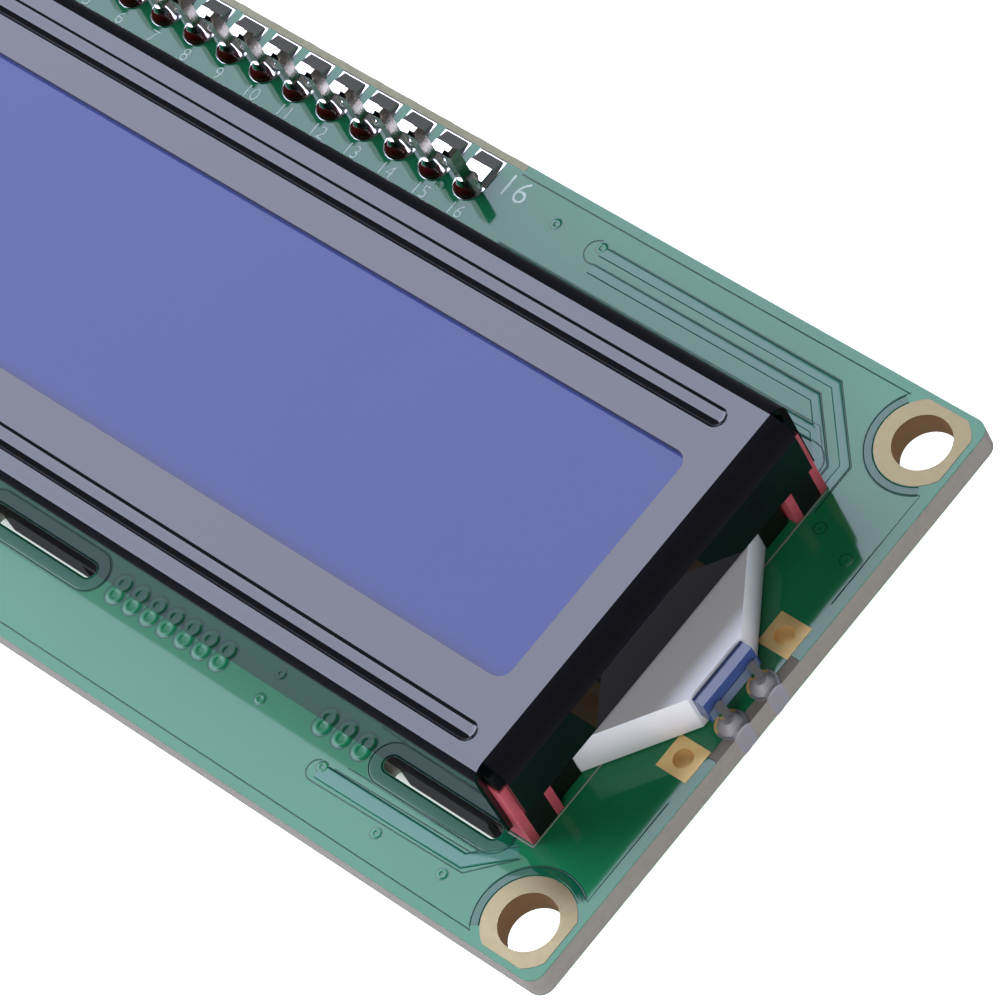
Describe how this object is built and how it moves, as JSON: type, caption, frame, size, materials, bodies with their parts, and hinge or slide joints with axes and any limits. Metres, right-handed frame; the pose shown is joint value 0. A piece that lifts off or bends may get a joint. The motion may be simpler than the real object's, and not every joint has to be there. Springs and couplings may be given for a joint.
{
  "type": "character lcd module",
  "caption": "Dot-matrix character display module: glass cell and edge-lit backlight under a black folded bezel on a drilled green board with a pin header.",
  "frame": {"origin": "centre of the four mounting holes on the front face of the circuit board", "axes": "+X along the board towards the backlight lamp, +Y across the board towards the pin header, +Z out of the display"},
  "size_m": [0.08, 0.036, 0.0141],
  "materials": {
    "laminate": "cut glass-fibre laminate",
    "solder_mask": "glossy green solder mask",
    "gold": "thin gold plating",
    "tin": "bright tin plating",
    "solder": "soft-solder, slightly uneven",
    "black_lacquer": "glossy black lacquered steel sheet",
    "polarizer": "glossy blue polarizing film",
    "glass": "clear flat glass",
    "seal": "resin perimeter seal",
    "film": "white diffusing film",
    "white_acrylic": "milky acrylic with polished sides",
    "black_silicone": "matte dark silicone",
    "pink_silicone": "soft pink-red silicone foam",
    "lamp_resin": "dark blue cast resin",
    "black_plastic": "moulded black plastic",
    "epoxy": "black potting resin",
    "resistor_glaze": "black glaze on ceramic"
  },
  "bodies": {
    "root": {"board_core": "laminate", "mask_front": "solder_mask", "mask_back": "solder_mask", "mounting_rings": "gold", "header_pads": "tin", "lamp_pads": "gold", "square_pads": "gold", "contact_fingers": "gold", "bezel": "black_lacquer", "front_polarizer": "polarizer", "front_glass": "glass", "cell_seal": "seal", "rear_glass": "glass", "rear_polarizer": "polarizer", "diffuser_film": "film", "light_guide": "white_acrylic", "strip_cores": "black_silicone", "strip_skins": "pink_silicone", "lamp_body": "lamp_resin", "lamp_leads": "tin", "lamp_solder": "solder", "header_spacer": "black_plastic", "header_pins": "tin", "header_solder": "solder", "resin_domes": "epoxy", "resistor_bodies": "resistor_glaze", "resistor_caps": "tin"}
  },
  "joints": []
}
